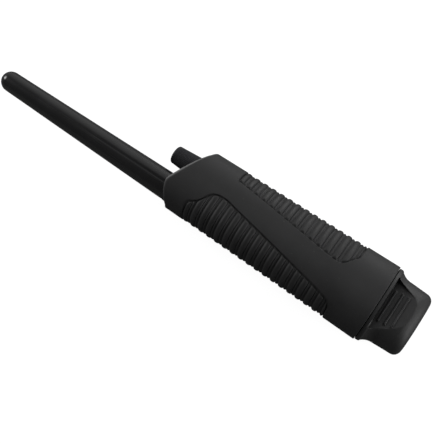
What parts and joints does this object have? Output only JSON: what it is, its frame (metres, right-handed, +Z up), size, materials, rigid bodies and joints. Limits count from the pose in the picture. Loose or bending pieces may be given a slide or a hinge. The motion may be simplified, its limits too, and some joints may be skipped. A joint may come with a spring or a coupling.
{
  "type": "police scanner wand",
  "caption": "Handheld scanner wand with a rigid round probe, a control knob under a slanted hood, a ribbed rubber grip sleeve and a pull-off battery cap.",
  "frame": {"origin": "middle of the footprint on the surface that the wand lies on, under the grip's centre plane", "axes": "+X from the probe tip towards the battery cap, +Y towards the knob side, +Z up out of the broad face"},
  "size_m": [0.356, 0.0588, 0.0383],
  "materials": {
    "sleeve_rubber": "matte moulded rubber",
    "housing_plastic": "moulded, lightly textured",
    "probe_plastic": "polished tube",
    "knob_plastic": "spark-eroded fine texture",
    "cap_rubber": "matte moulded rubber",
    "seal_rubber": "smooth",
    "gasket_silicone": "satin silicone",
    "foam": "open-cell foam",
    "steel": "zinc plated",
    "spring_steel": "bright spring steel",
    "nickel": "nickel plated",
    "brass": "turned",
    "ferrite": "sintered, dull",
    "former_card": "pressed card tube",
    "copper": "enamelled copper wire",
    "lead_wire": "PVC insulation",
    "board": "green solder mask",
    "chip_plastic": "epoxy package",
    "capacitor_sleeve": "shrink sleeve",
    "resistor_body": "lacquered",
    "trimmer_plastic": "moulded",
    "header_nylon": "natural nylon",
    "paper_cone": "pressed paper",
    "magnet": "ferrite magnet with steel cup",
    "battery_label": "plain printed metal jacket"
  },
  "bodies": {
    "grip": {"grip_sleeve": "sleeve_rubber", "housing_upper": "housing_plastic", "housing_lower": "housing_plastic", "housing_screws": "steel", "nose_plate": "housing_plastic", "probe_tube": "probe_plastic", "probe_collar": "housing_plastic", "probe_seal": "seal_rubber", "probe_nut": "brass", "ferrite_rod": "ferrite", "coil_former": "former_card", "transmit_coil": "copper", "receive_coil": "copper", "coil_spacers": "foam", "coil_leads": "lead_wire", "pot_body": "steel", "pot_washer": "nickel", "pot_nut": "nickel", "pot_terminals": "nickel", "speaker_gasket": "foam", "speaker_frame": "steel", "speaker_cone": "paper_cone", "speaker_magnet": "magnet", "main_board": "board", "board_screws": "steel", "signal_chip": "chip_plastic", "amplifier_chip": "chip_plastic", "regulator": "chip_plastic", "capacitors": "capacitor_sleeve", "resistors": "resistor_body", "crystal": "nickel", "trim_pots": "trimmer_plastic", "coil_header": "header_nylon", "battery_tray": "housing_plastic", "battery_snap": "nickel", "battery_leads": "lead_wire"},
    "knob": {"control_knob": "knob_plastic", "knob_clip": "spring_steel", "pot_shaft": "nickel"},
    "cap": {"end_cap": "cap_rubber", "cap_gasket": "gasket_silicone", "cap_foam": "foam"},
    "battery": {"battery": "battery_label", "battery_terminals": "nickel"}
  },
  "joints": [
    {"name": "knob_turn", "type": "hinge", "parent": "grip", "child": "knob", "pos_m": [0, 0.0105, 0.019], "axis": [-1, 0, 0], "range_deg": [0, 300]},
    {"name": "cap_pull", "type": "slide", "parent": "grip", "child": "cap", "axis": [1, 0, 0], "range_m": [0, 0.12]},
    {"name": "battery_slide", "type": "slide", "parent": "grip", "child": "battery", "axis": [1, 0, 0], "range_m": [0, 0.06]}
  ],
  "couplings": [
    {"joint": "battery_slide", "follows": "cap_pull", "ratio": 0.5}
  ]
}
